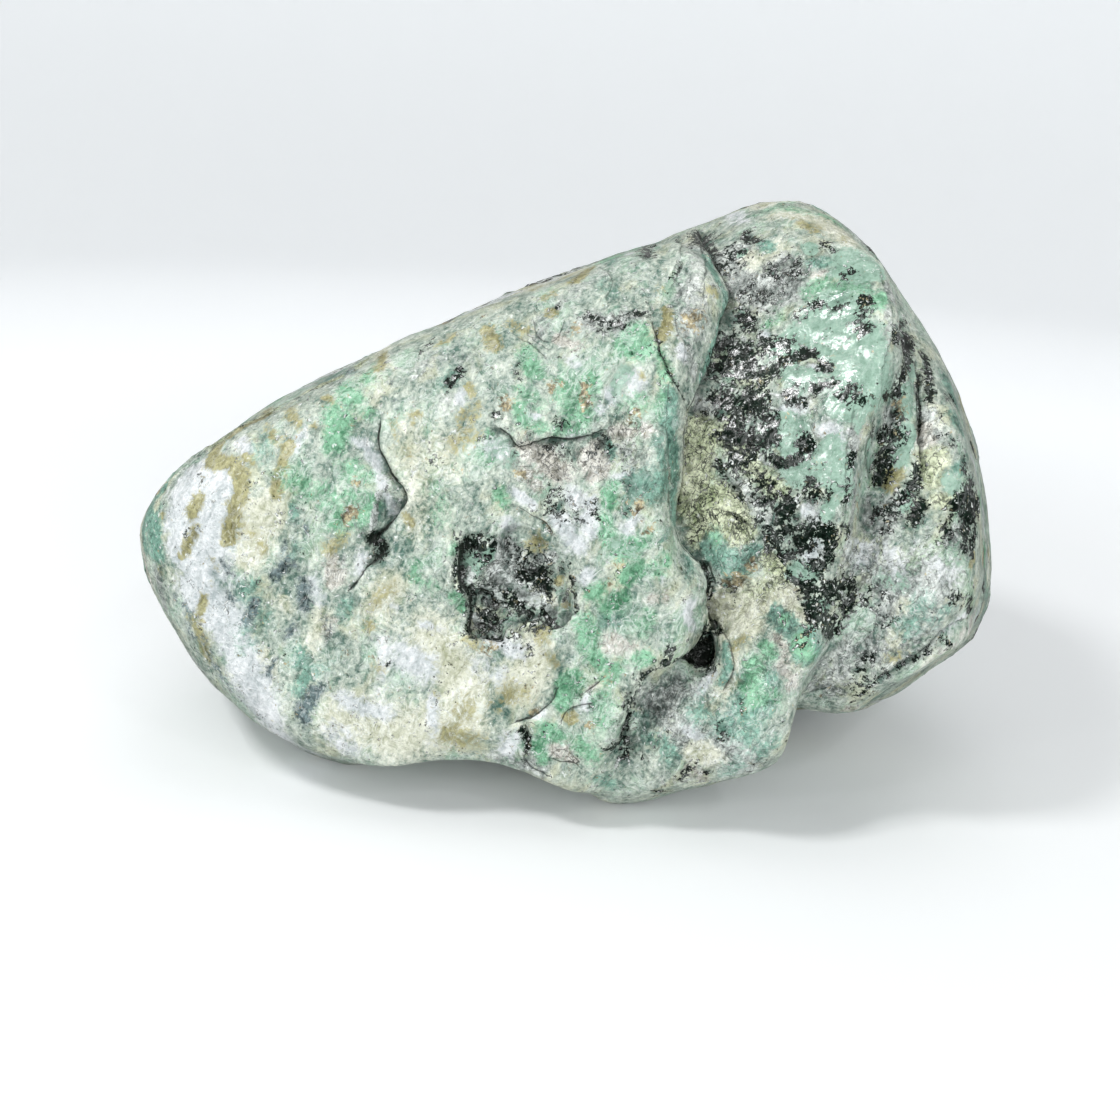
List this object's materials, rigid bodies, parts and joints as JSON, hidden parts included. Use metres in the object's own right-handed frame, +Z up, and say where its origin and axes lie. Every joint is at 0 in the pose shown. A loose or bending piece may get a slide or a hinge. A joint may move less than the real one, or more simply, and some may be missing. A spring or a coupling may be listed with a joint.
{
  "type": "raw jade boulder",
  "caption": "River-worn raw jade boulder with a deep valley down its broad front face, a narrow nose at one end, and low feet that it stands on unheld.",
  "frame": {"origin": "on the floor, under the middle of the stone's box", "axes": "+Z up as the stone stands; +X along its length, from the narrow nose towards the high blunt end; its broad front face, with the valley, looks to -Y"},
  "size_m": [0.351, 0.2172, 0.2219],
  "materials": {
    "jade": "water-worn, half polished: mottled mint, green, teal, white, ochre and black"
  },
  "bodies": {
    "root": {"jade_boulder": "jade"}
  },
  "joints": []
}
